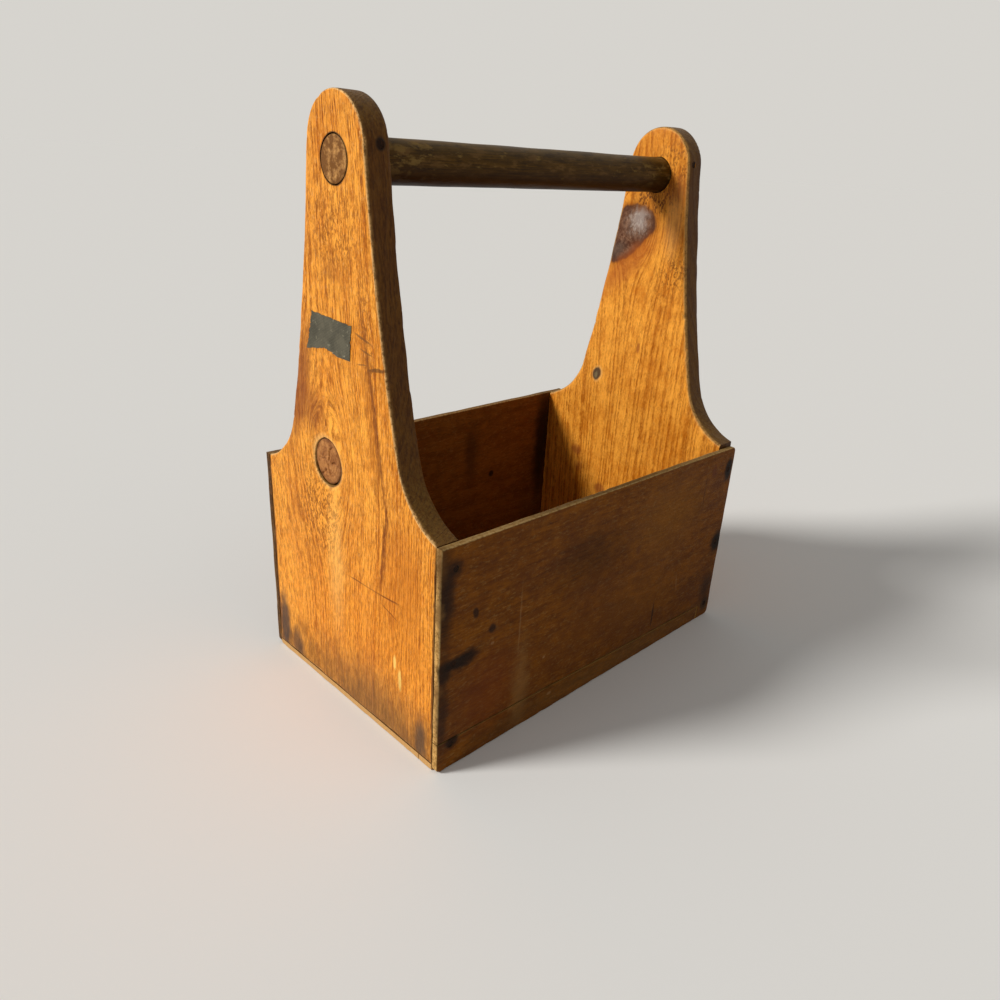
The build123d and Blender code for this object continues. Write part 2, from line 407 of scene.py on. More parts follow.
    def knot_faces(self, colour: Socket) -> Socket:
        """Paint the knots that show, with the crowded dark wood round them.

        Args:
            colour: the colour so far.

        Returns:
            The colour with the knots.
        """
        add, far = self.add, 9.0
        shown = [knot for knot in self.finish.knots if knot.shows]
        if not shown:
            return colour
        for knot in shown:
            spot = add("VectorMath MULTIPLY_ADD", self.wobble, (1.8, 0, 2.2), self.board)
            spot = add("Mapping TEXTURE", spot, Location=(knot.across, 0, knot.along),
                       Rotation=(0, math.radians(knot.turn), 0),
                       Scale=(knot.half_across, ENDLESS, knot.half_along))
            far = add("Math MINIMUM", add("VectorMath LENGTH", spot), far)
        halo = add("MapRange SMOOTHSTEP", far, 1.4, 0.95, 0.0, 0.6)
        inside = add("MapRange SMOOTHSTEP", far, 1.08, 0.92, 0.0, 0.95)
        crust = add("TexNoise", self.board, Scale=0.2, Detail=6.0, Roughness=0.75)
        crust = add("Math MULTIPLY", add("MapRange", crust, 0.42, 0.6),
                    add("MapRange", far, 0.95, 0.55))
        face = add("Mix RGBA", crust, linear(shown[0].colour), linear(shown[0].heart))
        for mask, tint in ((halo, linear(self.finish.deep)), (inside, face)):
            colour = add("Mix RGBA", mask, colour, tint)
        return colour

    def age(self, colour: Socket) -> tuple[Socket, Socket]:
        """Lay on grime at the foot, dark edges of grime and painted shade, edges that look up
        painted paler with dirt and light from above, dry sawn ends and rubbed arrises.

        Args:
            colour: the colour so far.

        Returns:
            The colour, and how far the finish is rubbed off.
        """
        add, finish, facing, height = self.add, self.finish, self.facing, self.axes[2]
        thickness = facing[finish.grain.value[1]]
        through, ends = [add("Math ABSOLUTE", facing[axis]) for axis in finish.grain.value[1:]]
        frayed = add("TexNoise", self.board, Scale=0.42, Detail=5.0, Roughness=0.75)
        damp = add("Math MULTIPLY_ADD", self.grit["soak"], 80.0, height)
        damp = add("MapRange SMOOTHSTEP", damp, finish.grime_height + 56.0,
                   finish.grime_height + 14.0, 0.0, 0.78)
        high = add("MapRange", height, finish.bare_from, finish.bare_from + 25.0, 0.1, 1.0)
        near = add("Attribute", attribute_name=ARRIS).node.outputs["Fac"]
        arris = [add("ValToRGB", through, stops=SLANT), add("MapRange", near, 0.35, 0.85)]
        # Pale rubbed arrises only on the side that faces the key light: wear and a painted
        # highlight together.
        if finish.bare_and_lit_side:
            arris.append(add("MapRange", thickness, 0.0, 0.3 * finish.bare_and_lit_side))
        masks = []
        for first, *others in (
            (damp, add("MapRange", self.grit["blotch"], 0.3, 0.6, 0.45, 1.0)),
            # Faces that look up, painted paler: partly settled dirt and partly painted light from
            # above.
            (add("MapRange", facing[2], 0.15, 0.9),
             add("MapRange", frayed, 0.42, 0.58, 0.25, 1.0), high),
            (add("MapRange", ends, 0.55, 0.95, 0.0, finish.end_amount),
             add("MapRange", frayed, 0.4, 0.56, 0.2, 1.0)),
            (*arris, add("MapRange", frayed, 0.38, 0.54, 0.15, finish.bare_amount), high),
        ):
            for other in others:
                first = add("Math MULTIPLY", first, other)
            masks.append(first)
        dirty, dust_and_top_light_mask, sawn, rubbed = masks
        # The edges take the edge tint; on the end boards its dark colour is grime and painted shade
        # together.
        edge = add("MapRange", through, 0.93, 0.7, 0.0, finish.edge_amount)
        wall = add("Mix RGBA", dust_and_top_light_mask, linear(finish.edge), linear(finish.dust_and_top_light))
        for mask, tint in ((dirty, linear(finish.grime)), (edge, wall),
                           (sawn, linear(finish.end_wood)), (rubbed, linear(finish.bare))):
            colour = add("Mix RGBA", mask, colour, tint)
        return colour, rubbed

    def mark_on(self, colour: Socket, mark: Mark, depth: float) -> Socket:
        """Lay one mark over the colour.

        Args:
            colour: the colour so far.
            mark: the mark.
            depth: where its face lies in the board's thickness, in millimetres.

        Returns:
            The colour with the mark.
        """
        add = self.add
        ragged = (mark.ragged, 0, mark.ragged)
        spot = add("VectorMath MULTIPLY_ADD", self.wobble, ragged, self.board)
        spot = add("Mapping TEXTURE", spot, Location=(mark.across, depth, mark.along),
                   Rotation=(0, math.radians(mark.turn), 0),
                   Scale=(mark.half_across, MARK_DEPTH, mark.half_along))
        far = add("VectorMath LENGTH", spot)
        mask = add("MapRange SMOOTHSTEP", far, 1 + mark.soft, 1 - mark.soft, 0.0, mark.strength)
        if mark.kind is not Kind.STAIN:
            name, *limits = (("spots", 0.5, 0.6, 0.0, 1.0) if mark.kind is Kind.SPECKLE
                             else ("fibre", 0.3, 0.5, 0.25, 1.0))
            broken = add("MapRange", self.grit[name], *limits)
            mask = add("Math MULTIPLY", mask, broken)
        return add("Mix RGBA", mask, colour, linear(mark.colour))

    def build(self) -> bpy.types.Material:
        """Lay the layers over one another and join them in the shader.

        Returns:
            The finished material.
        """
        add, finish, fibre = self.add, self.finish, self.grit["fibre"]
        colour, rubbed = self.age(self.knot_faces(self.wood()))
        for face, marks in ((finish.outer_depth, finish.marks),
                            (finish.inner_depth, finish.inner_marks)):
            for mark in marks:
                colour = self.mark_on(colour, mark, face if mark.depth is None else mark.depth)
        shade = add("MapRange", fibre, 0.36, 0.64, 1.0 + 0.8 * finish.crisp, 1.0 - finish.crisp)
        colour = add("VectorMath SCALE", colour, Scale=shade)
        colour = add("VectorMath MINIMUM", colour, (1, 1, 1))
        dull = add("MapRange", self.grit["cloud"], 0.3, 0.7, finish.roughness + 0.08,
                   finish.roughness - 0.08)
        dents = add("TexNoise", self.board, Scale=0.11, Detail=4.0, Roughness=0.7)
        relief = add("Math MULTIPLY_ADD", self.ring, 0.55, fibre)
        relief = add("Math MULTIPLY_ADD", dents, 1.6, relief)
        return self.close(colour, relief, finish.relief, IOR=1.5, Specular_IOR_Level=finish.shine,
                          Roughness=add("Math MULTIPLY_ADD", rubbed, 0.2, dull))


@dataclass(frozen=True)
class HandleFinish:
    """A turned hardwood dowel, dark and polished by the hand, its finish flaking at the ends; a
    painted highlight lightens its top and painted shade darkens its underside.
    """

    name: str = "handled_beech_dowel"
    wood: str = "#54390c"
    dark: str = "#2e1c04"
    flake: str = "#7d6233"
    # The underside colour is painted shade under the dowel, and the next colour a painted highlight
    # along its top.
    underside: str = "#260f00"
    painted_top_highlight: str = "#604a20"
    rubbed: str = "#6a4c26"
    end_grain: str = "#c89253"
    end_dark: str = "#744a20"

    def build(self) -> bpy.types.Material:
        """Make the material.

        Returns:
            The finished material.
        """
        recipe = Recipe(bpy.data.materials.new(self.name))
        add = recipe.add
        point, normal = recipe.surface()
        along = add("SeparateXYZ", point)
        facing = add("SeparateXYZ", normal).node.outputs
        # Each with its grains' size along, across and up the dowel, in millimetres.
        fibre, cloud, patch, worn = [
            add("TexNoise", add("VectorMath MULTIPLY", point, [1 / part for part in size]),
                Scale=1.0, Detail=detail, Roughness=roughness)
            for size, detail, roughness in (
                ((30, 0.9, 0.9), 4.0, 0.6), ((40, 16, 16), 4.0, 0.6), ((17, 6, 5), 6.0, 0.7),
                ((11, 6, 5), 6.0, 0.68))]
        for start, full, most in ((-70.0, -128.0, 0.13), (60.0, 130.0, 0.07)):
            near_end = add("MapRange SMOOTHSTEP", along, start, full, 0.0, most)
            worn = add("Math ADD", worn, near_end)
        worn = add("MapRange", worn, 0.6, 0.68, 0.0, 0.75)
        colour = add("Mix RGBA", add("MapRange", fibre, 0.35, 0.68), linear(self.wood),
                     linear(self.dark))
        for pattern, start, full, most, tint in (
            # Painted highlight: the faces that look up are lightened.
            (facing[2], 0.3, 0.95, 0.55, self.painted_top_highlight),
            (patch, 0.52, 0.6, 0.6, self.rubbed),
            (patch, 0.46, 0.38, 0.7, self.dark),
            (cloud, 0.5, 0.75, 0.6, self.dark),
        ):
            mask = add("MapRange", pattern, start, full, 0.0, most)
            colour = add("Mix RGBA", mask, colour, linear(tint))
        # Painted shade on the underside: the faces that look down are darkened.
        low = add("MapRange", facing[2], 0.1, -0.6, 0.0, 0.85)
        pores = add("TexNoise", point, Scale=0.16, Detail=7.0, Roughness=0.7)
        sawn = add("Mix RGBA", add("MapRange", pores, 0.34, 0.52), linear(self.end_grain),
                   linear(self.end_dark))
        ends = add("MapRange", add("Math ABSOLUTE", facing[0]), 0.5, 0.9, 0.0, 1.0)
        for mask, tint in ((worn, linear(self.flake)), (low, linear(self.underside)), (ends, sawn)):
            colour = add("Mix RGBA", mask, colour, tint)
        dull = add("MapRange", cloud, 0.3, 0.7, 0.5, 0.38)
        return recipe.close(
            colour, add("Math MULTIPLY_ADD", worn, -0.7, fibre), 0.15, IOR=1.5,
            Roughness=add("Math MULTIPLY_ADD", worn, 0.2, dull),
            Specular_IOR_Level=0.08)


@dataclass(frozen=True)
class KnotFinish:
    """The shrunken heart of a branch: dense red-brown wood with rings and open radial checks."""

    across: float
    height: float
    name: str = "loose_pine_knot"
    wood: str = "#935a2a"
    dark: str = "#5e3212"
    pale: str = "#c98a4c"

    def build(self) -> bpy.types.Material:
        """Make the material.

        Returns:
            The finished material.
        """
        recipe = Recipe(bpy.data.materials.new(self.name))
        add = recipe.add
        point, _ = recipe.surface()
        wobble = add("TexNoise", point, Scale=0.2, Detail=3.0).node.outputs["Color"]
        wobble = add("VectorMath MULTIPLY_ADD", wobble, (0, 5, 5), (0, -2.5, -2.5))
        spot = add("VectorMath ADD", point, wobble)
        spot = add("Mapping TEXTURE", spot, Location=(0, self.across, self.height),
                   Scale=(ENDLESS, 14.5, 15.3))
        far = add("VectorMath LENGTH", spot)
        rings = add("Math SINE", add("Math MULTIPLY", far, 42.0))
        rings = add("MapRange", rings, -1.0, 1.0, 0.0, 0.4)
        cloud = add("TexNoise", point, Scale=0.16, Detail=5.0, Roughness=0.65)
        colour = linear(self.wood)
        for mask, tint in ((rings, self.dark),
                           (add("MapRange", cloud, 0.42, 0.66, 0.0, 0.8), self.pale),
                           (add("MapRange", far, 0.78, 1.0, 0.0, 0.7), self.dark)):
            colour = add("Mix RGBA", mask, colour, linear(tint))
        relief = add("Math MULTIPLY_ADD", cloud, 1.6, rings)
        return recipe.close(colour, relief, 0.2, Roughness=0.6, IOR=1.5, Specular_IOR_Level=0.15)


@dataclass(frozen=True)
class TapeFinish:
    """Cotton cloth tape, its grey coating scuffed through on the threads and grubby in patches.

    The real threads are 0.4 mm apart, and are drawn coarser so that they show.
    """

    name: str = "scuffed_cloth_tape"
    coating: str = "#5a5444"
    dark: str = "#403c30"
    thread: str = "#a39c80"
    thread_spacing: float = 0.9

    def build(self) -> bpy.types.Material:
        """Make the material.

        Returns:
            The finished material.
        """
        recipe = Recipe(bpy.data.materials.new(self.name))
        add = recipe.add
        point, _ = recipe.surface()
        wefts = [add("Math SINE", add("Math MULTIPLY", axis, math.tau / self.thread_spacing))
                 for axis in add("SeparateXYZ", point).node.outputs[1:3]]
        weave = add("Math MAXIMUM", *wefts)
        cloud = add("TexNoise", point, Scale=0.09, Detail=5.0, Roughness=0.6)
        scuff = add("TexNoise", point, Scale=0.35, Detail=6.0, Roughness=0.7)
        colour = linear(self.coating)
        for pattern, start, full, most, tint in (
            (cloud, 0.4, 0.62, 1.0, self.dark),
            (weave, 0.6, 1.0, 0.22, self.thread),
            (scuff, 0.6, 0.66, 0.75, self.thread),
        ):
            mask = add("MapRange", pattern, start, full, 0.0, most)
            colour = add("Mix RGBA", mask, colour, linear(tint))
        return recipe.close(colour, weave, 0.12, Roughness=0.75, Specular_IOR_Level=0.2)


@dataclass(frozen=True)
class IronFinish:
    """Wrought iron wire nails, rusted to a dull brown-black crust."""

    name: str = "rusted_iron"
    crust: str = "#17100b"
    rust: str = "#3a2010"

    def build(self) -> bpy.types.Material:
        """Make the material.

        Returns:
            The finished material.
        """
        recipe = Recipe(bpy.data.materials.new(self.name))
        add = recipe.add
        pits = add("TexNoise", recipe.surface()[0], Scale=1.3, Detail=4.0, Roughness=0.65)
        colour = add("Mix RGBA", add("MapRange", pits, 0.42, 0.62), linear(self.crust),
                     linear(self.rust))
        return recipe.close(colour, pits, 0.1, Metallic=0.2, Roughness=0.75,
                            Specular_IOR_Level=0.1)


@dataclass(frozen=True)
class Wear:
    """How far use has worn a board, in millimetres."""

    seed: float
    step: float = 4.0
    arris_radius: float = 0.8
    dent: float = 0.22
    rub: float = 0.5
    chip: float = 1.3
    reach: float = 3.2
    lip: float = 3.4
    nail_clearance: float = 3.0


def sort_points(points: Sequence[Vector]) -> KDTree:
    """Sort points so that the nearest to any place is found at once.

    Args:
        points: the points.

    Returns:
        The tree of points.
    """
    tree = KDTree(len(points))
    for number, point in enumerate(points):
        tree.insert(point, number)
    tree.balance()
    return tree


def place_in_scene(name: str, data: bpy.types.ID) -> bpy.types.Object:
    """Make an object of a mesh, lamp or camera.

    Args:
        name: the object's name.
        data: what it shows.

    Returns:
        The new object.
    """
    thing = bpy.data.objects.new(name, data)
    bpy.context.scene.collection.objects.link(thing)
    return thing


def cut(shape: bmesh.types.BMesh, spot: Vector, across: Vector) -> None:
    """Cut a whole shape along a plane.

    Args:
        shape: the shape.
        spot: a point in the plane.
        across: the direction that the plane lies square to.
    """
    bmesh.ops.bisect_plane(shape, geom=shape.verts[:] + shape.edges[:] + shape.faces[:],
                           dist=SNAP, plane_co=spot, plane_no=across)


class Workshop:
    """Turns CAD nodes into worn pieces and dresses them."""

    def __init__(self) -> None:
        """Note where every nail is, because the wood round a nail head stays whole."""
        self.nails = sort_points([vert.co.copy() for node in NAILS for vert in node.data.vertices])

    @staticmethod
    def blank(node: str) -> bmesh.types.BMesh:
        """Copy a CAD node, with its loose triangles joined to whole faces.

        Args:
            node: the CAD node.

        Returns:
            The shape.
        """
        shape = bmesh.new()
        shape.from_mesh(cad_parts[node].data)
        bmesh.ops.remove_doubles(shape, verts=shape.verts[:], dist=WELD)
        bmesh.ops.dissolve_limit(shape, angle_limit=FLAT_ANGLE, verts=shape.verts[:],
                                 edges=shape.edges[:])
        return shape

    @staticmethod
    def dice(shape: bmesh.types.BMesh, node: str, axes: Sequence[int], step: float) -> None:
        """Cut a shape into even cells along some axes.

        Args:
            shape: the shape.
            node: the CAD node whose box is divided.
            axes: the object axes to cut along.
            step: the cells' size, in millimetres.
        """
        low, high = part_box(node)
        for axis in axes:
            cuts = round((high[axis] - low[axis]) / (step * MM))
            for number in range(1, cuts):
                spot, across = low.copy(), Vector((0, 0, 0))
                spot[axis] += (high[axis] - low[axis]) * number / cuts
                across[axis] = 1
                cut(shape, spot, across)

    def wear_down(self, node: str, through: int, wear: Wear, coat: bpy.types.Material,
                  slot: str) -> None:
        """Replace a CAD node by a copy with its arrises and faces worn inwards.

        Args:
            node: the CAD node.
            through: the object axis that runs through the board's thickness.
            wear: how far it is worn.
            coat: its material.
            slot: not used; it is only passed on to finish.
        """
        shape = self.blank(node)
        low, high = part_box(node)
        clear = wear.nail_clearance * MM
        rims = [
            edge for edge in shape.edges if len(edge.link_faces) == 2
            and abs(abs(edge.link_faces[0].normal[through])
                    - abs(edge.link_faces[1].normal[through])) > ARRIS_TURN
            and self.nails.find((edge.verts[0].co + edge.verts[1].co) / 2)[2] > clear
        ]
        if wear.arris_radius:
            bmesh.ops.bevel(shape, geom=rims, offset=wear.arris_radius * MM, offset_type="OFFSET",
                            segments=2, profile=0.5, affect="EDGES", clamp_overlap=True,
                            material=-1)
        self.dice(shape, node, [axis for axis in range(3) if axis != through], wear.step)
        across = Vector([axis == through for axis in range(3)])
        for depth in (wear.lip * MM, (high - low)[through] - wear.lip * MM):
            cut(shape, low + across * depth, across)
        bmesh.ops.remove_doubles(shape, verts=shape.verts[:], dist=SLIVER)
        bmesh.ops.triangulate(shape, faces=shape.faces[:])
        alike = {}
        for face in shape.faces:
            alike.setdefault(frozenset(face.verts), []).append(face)
        fins = [face for pair in alike.values() if len(pair) > 1 for face in pair]
        bmesh.ops.delete(shape, geom=fins, context="FACES")
        shape.normal_update()
        self.rub(shape, through, wear)
        for vert in shape.verts:
            vert.co = [min(max(*pair), top) for *pair, top in zip(vert.co, low, high)]
        self.finish(shape, "worn_" + node, node, coat, slot)

    def rub(self, shape: bmesh.types.BMesh, through: int, wear: Wear) -> None:
        """Move the surface inwards: a little everywhere, and more along the arrises.

        Args:
            shape: the board.
            through: the object axis that runs through the board's thickness.
            wear: how far it is worn.
        """
        clear = wear.nail_clearance * MM
        flattest, steepest = ARRIS_SLANTS
        arrises = sort_points([
            vert.co.copy() for vert in shape.verts
            if flattest < abs(vert.normal[through]) < steepest
            and self.nails.find(vert.co)[2] > clear])
        offset = Vector((wear.seed, wear.seed * 0.7, wear.seed * 0.3))
        moves = []
        mark = shape.verts.layers.float.new(ARRIS)
        for vert in shape.verts:
            place = vert.co / MM
            near = max(0.0, 1 - arrises.find(vert.co)[2] / (wear.reach * MM))
            whole = min(1.0, self.nails.find(vert.co)[2] / clear)
            vert[mark] = near * whole
            slow = noise.noise(place / 27 + offset)
            quick = noise.noise(place / 6.5 - offset)
            depth = wear.dent * max(0.0, slow + 0.25)
            depth += near * wear.rub * max(0.0, 0.55 + noise.noise(place / 17 + offset * 2))
            depth += near * wear.chip * max(0.0, quick - 0.3)
            moves.append(vert.normal * (-depth * whole * MM))
        for vert, move in zip(shape.verts, moves):
            vert.co += move

    def finish(self, shape: bmesh.types.BMesh, name: str, node: str, coat: bpy.types.Material,
               slot: str) -> None:
        """Turn a finished shape into a piece that replaces its CAD node.

        Args:
            shape: the shape, in metres, in place.
            name: the piece's name.
            node: the CAD node it stands for.
            coat: its material.
            slot: not used.
        """
        mesh = bpy.data.meshes.new(name)
        shape.to_mesh(mesh)
        shape.free()
        if "custom_normal" in mesh.attributes:
            mesh.attributes.remove(mesh.attributes["custom_normal"])
        mesh.polygons.foreach_set("use_smooth", [True] * len(mesh.polygons))
        mesh.set_sharp_from_angle(angle=SHARP_ANGLE)
        mesh.materials.append(coat)
        piece = place_in_scene(name, mesh)
        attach(piece, BODY)
        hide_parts(node)
        LOG.info("%s: %d triangles", name, len(mesh.polygons))


# In each table a mark gives its place and half sizes across and along the grain, its colour and
# strength, how ragged its outline is, how soft its edge is, and then what else it has by name.
INK, RUST, RESIN = "#6c300a", "#3a3230", "#84381a"
SOOT, UMBER, SCUFF = "#100b08", "#24140b", "#a9835a"

LEFT_MARKS = (
    Mark(46, 222, 9, 40, "#83401a", 0.75, 4, 0.6, turn=-17),
    Mark(32, 208, 12, 14, "#8a491c", 0.6, 4, 0.7),
    Mark(-36, 216, 1.9, 62, INK, 0.8, 2, 0.6, turn=10.8, kind=Kind.STREAK),
    Mark(-43, 134, 1.9, 32, INK, 0.9, 2, 0.6, turn=-7.5, kind=Kind.STREAK),
    Mark(-31, 215, 4.5, 50, "#a55c12", 0.45, 3, turn=10.8, kind=Kind.STREAK),
    Mark(-64, 130, 14, 34, "#b86410", 0.4, 6, 0.7),
    Mark(-20, 66, 84, 56, "#d87606", 0.28, 9, 0.8),
    Mark(-66, 96, 22, 46, "#b8640c", 0.3, 9, 0.8),
    Mark(10, 108, 8, 44, "#ffc268", 0.4, 6, 0.8),
    Mark(17.25, 177.25, 17.0, 17.8, "#f2bb6c", 0.6, 1.2, 0.15, turn=20),
    Mark(16.2, 176.7, 15.7, 16.2, "#2e1606", 0.9, 0.3, 0.04, turn=20),
    Mark(-27.7, 365, 4.2, 3.6, "#140b06", 0.95, 0.8, depth=-145),
    Mark(0, 356.5, 13.7, 13.7, "#241206", 0.95, 0.3, 0.04),
    Mark(-92.6, 84, 1.1, 82, "#3b2110", 0.8, 0.6),
    Mark(92.6, 84, 1.1, 82, "#3b2110", 0.8, 0.6),
    Mark(-38, 248.5, 8.5, 1.2, "#5c3a1c", 0.8, 1.6, turn=12),
    Mark(-25, 264, 8, 0.8, "#6b4522", 0.75, 1.0, turn=-14),
    Mark(-28, 257, 6, 0.6, "#6b4522", 0.7, 0.8, turn=-10),
    Mark(-24, 249, 5, 0.5, "#6b4522", 0.6, 0.8, turn=8),
    Mark(-36, 243, 8, 9, "#a0601c", 0.5, 4, 0.7, kind=Kind.SPECKLE),
    Mark(-27, 270, 6, 26, "#8a4c16", 0.7, 4, turn=9, kind=Kind.SPECKLE),
    Mark(-32, 104.6, 29, 0.5, INK, 0.45, 0.4, turn=2.8),
    Mark(-49, 105.7, 10.5, 0.5, INK, 0.75, 0.4, turn=6),
    Mark(-49, 96.5, 8.5, 0.5, INK, 0.7, 0.4, turn=-17),
    Mark(-13.5, 104, 6.5, 0.5, INK, 0.6, 0.4, turn=3),
    Mark(-54.7, 62, 1.3, 4.8, "#f2c668", 0.9, 1.4),
    Mark(-60, 51, 1.6, 7.5, "#f2c668", 0.9, 1.6),
    Mark(85, 24, 6.5, 25, RUST, 0.85, 3.5, 0.5),
    Mark(67, 12, 8, 14, RUST, 0.6, 4, 0.6),
    Mark(-82, 16, 5, 17, RUST, 0.75, 3, 0.6),
    Mark(-30, 12, 52, 30, "#6c5234", 0.5, 9, 0.8),
    Mark(0, 318, 24, 26, "#8c4c0e", 0.7, 5, 0.6, kind=Kind.SPECKLE),
    Mark(6, 299, 9, 6, "#9a5418", 0.5, 4, 0.8),
    Mark(31, 138, 22, 32, "#8a4a08", 0.85, 5, 0.6, kind=Kind.SPECKLE),
)
RIGHT_INNER_MARKS = (
    Mark(20, 285, 9, 36, "#a8541c", 0.6, 4, 0.6, turn=-48),
    Mark(14, 320, 10, 10, "#7e6656", 0.5, 5, 0.6, turn=-20),
    Mark(11, 323, 6, 8, "#a3948a", 0.7, 7, 0.6, turn=-30),
    Mark(13, 321, 10, 10, "#b9aa9c", 0.45, 6, 0.5, turn=-20, kind=Kind.SPECKLE),
    Mark(31, 297, 5, 9, "#453a32", 0.6, 3, 0.6, turn=-48),
    Mark(-27, 286, 13, 12, "#6d3a0a", 0.75, 4, 0.6, kind=Kind.SPECKLE),
    Mark(-22, 268, 14, 14, "#8a4e12", 0.45, 4, 0.6, kind=Kind.SPECKLE),
    Mark(38.4, 190, 5.4, 7.6, "#f2b566", 0.5, 1.2, 0.2, turn=-14),
    Mark(39, 190, 4.2, 6.2, "#3c332b", 0.92, 1.2, 0.2, turn=-14),
    Mark(39.6, 189, 1.6, 3.2, "#8a7a54", 0.6, 2.2, 0.4, turn=-14),
    Mark(54, 113, 6, 4.5, RESIN, 0.6, 3, 0.5),
    Mark(50, 98, 5, 4, RESIN, 0.45, 3, 0.6),
    Mark(22, 84, 5.5, 5, RESIN, 0.65, 3, 0.5),
    Mark(-2.5, 221, 1.6, 4.5, RESIN, 0.6, 0.8),
    Mark(-14, 362, 18, 18, "#8a4f17", 0.75, 4, kind=Kind.SPECKLE),
    Mark(-2, 338, 20, 9, "#9a5a14", 0.5, 4, 0.6),
    Mark(-2, 338, 20, 10, "#683608", 0.95, 4, kind=Kind.SPECKLE),
    Mark(-22, 322, 7, 22, "#e4a45c", 0.4, 3, 0.7),
    # Painted shadow that the handle casts beside its end, on the front side.
    Mark(-20, 348, 10, 9, "#6a3418", 0.5, 3, 0.7),
)
FRONT_MARKS = (
    Mark(79, -138, 5.4, 15, SOOT, 0.92, 4, 0.5, turn=4),
    Mark(76, -152, 9, 6, SOOT, 0.8, 3, 0.5),
    Mark(126, -153, 34, 6, SOOT, 0.75, 3, 0.7),
    Mark(20, -144, 4, 5.5, SOOT, 0.85, 1.5, 0.4),
    Mark(145, -146, 6, 6, UMBER, 0.8, 3, 0.6),
    Mark(128, -150, 14, 5, UMBER, 0.6, 3, 0.6),
    Mark(45, -153, 26, 5, UMBER, 0.7, 3, 0.6),
    Mark(139, 149, 10, 5, SOOT, 0.95, 3, 0.4),
    Mark(73, 150, 10, 8, SOOT, 0.95, 3, 0.5),
    Mark(12, 148, 6, 6, SOOT, 0.85, 2, 0.5),
    Mark(30, 146, 12, 9, UMBER, 0.7, 4, 0.7),
    Mark(150, -156, 13, 4, "#5a3c1c", 0.8, 5, 0.7, depth=-96),
    Mark(118, -156, 7, 4, "#7c5a30", 0.7, 5, 0.6, depth=-96),
    Mark(62, -156, 5, 4, "#6a4a26", 0.6, 5, 0.6, depth=-96),
    Mark(109, -127.8, 4, 2.2, UMBER, 0.85, 1, turn=10),
    Mark(92.4, -113.2, 3.2, 3, UMBER, 0.85, 1),
    Mark(87, -88, 24, 0.7, SCUFF, 0.22, 0.8, 0.6),
    Mark(33, 67.5, 12, 1.0, SOOT, 0.85, 0.8),
    Mark(126, 118, 14, 0.6, UMBER, 0.6, 0.8),
    Mark(52, 96, 9, 0.5, SCUFF, 0.3, 0.8, turn=12),
    Mark(13.3, -52.5, 1.2, 2.2, SCUFF, 0.45, 0.8),
    Mark(48, -61.6, 1.2, 1.2, SCUFF, 0.4, 0.8),
    Mark(81, -112.2, 1.2, 1.6, SCUFF, 0.3, 0.8),
    Mark(100.6, 36, 4, 3, "#4e2410", 0.6, 1.5),
    Mark(142, 128, 5, 3, "#5a2a12", 0.6, 1.5),
    Mark(34, -84, 30, 7, "#8e6a3a", 0.4, 9, 0.8),
    Mark(44, -112, 26, 22, "#6a2c06", 0.45, 9, 0.8),
    Mark(118, 70, 26, 40, "#86561a", 0.35, 9, 0.8),
    Mark(112, -20, 20, 34, "#2a1402", 0.45, 9, 0.8),
    Mark(60, 44, 24, 40, "#7c4a12", 0.35, 9, 0.8),
    Mark(66, -20, 26, 30, "#6c3c0a", 0.3, 9, 0.8),
    Mark(9, 20, 8, 120, "#7d5c2a", 0.3, 6, 0.7, kind=Kind.STREAK),
)
BACK_MARKS = (
    Mark(80, -146, 7, 9, SOOT, 0.85, 3, 0.5),
    Mark(145, -146, 5, 6, "#1d110a", 0.8, 2, 0.5),
    Mark(18, -146, 5, 6, SOOT, 0.8, 2, 0.5),
    Mark(139, 149, 6, 6, SOOT, 0.85, 2, 0.5),
    Mark(73, 149, 6, 8, SOOT, 0.85, 3, 0.5),
    Mark(12, 148, 5, 5, SOOT, 0.8, 2, 0.5),
)
BACK_INNER_MARKS = (
    Mark(93, 65.6, 3, 3, SOOT, 0.9, 0.6),
    # Painted shade: a dark upright band in the inner corner next to the right end board.
    Mark(110, 131, 52, 9, "#1d110a", 0.85, 5, 0.6),
    Mark(118, 40, 26, 7, "#3a2010", 0.6, 5, 0.7),
)
FLOOR_MARKS = (
    Mark(30, -40, 40, 60, "#3c2614", 0.5, 9, 0.8),
    Mark(-20, 70, 22, 40, "#2d1c10", 0.5, 9, 0.8),
    Mark(60, 100, 18, 26, "#8b6a45", 0.4, 9, 0.8),
)


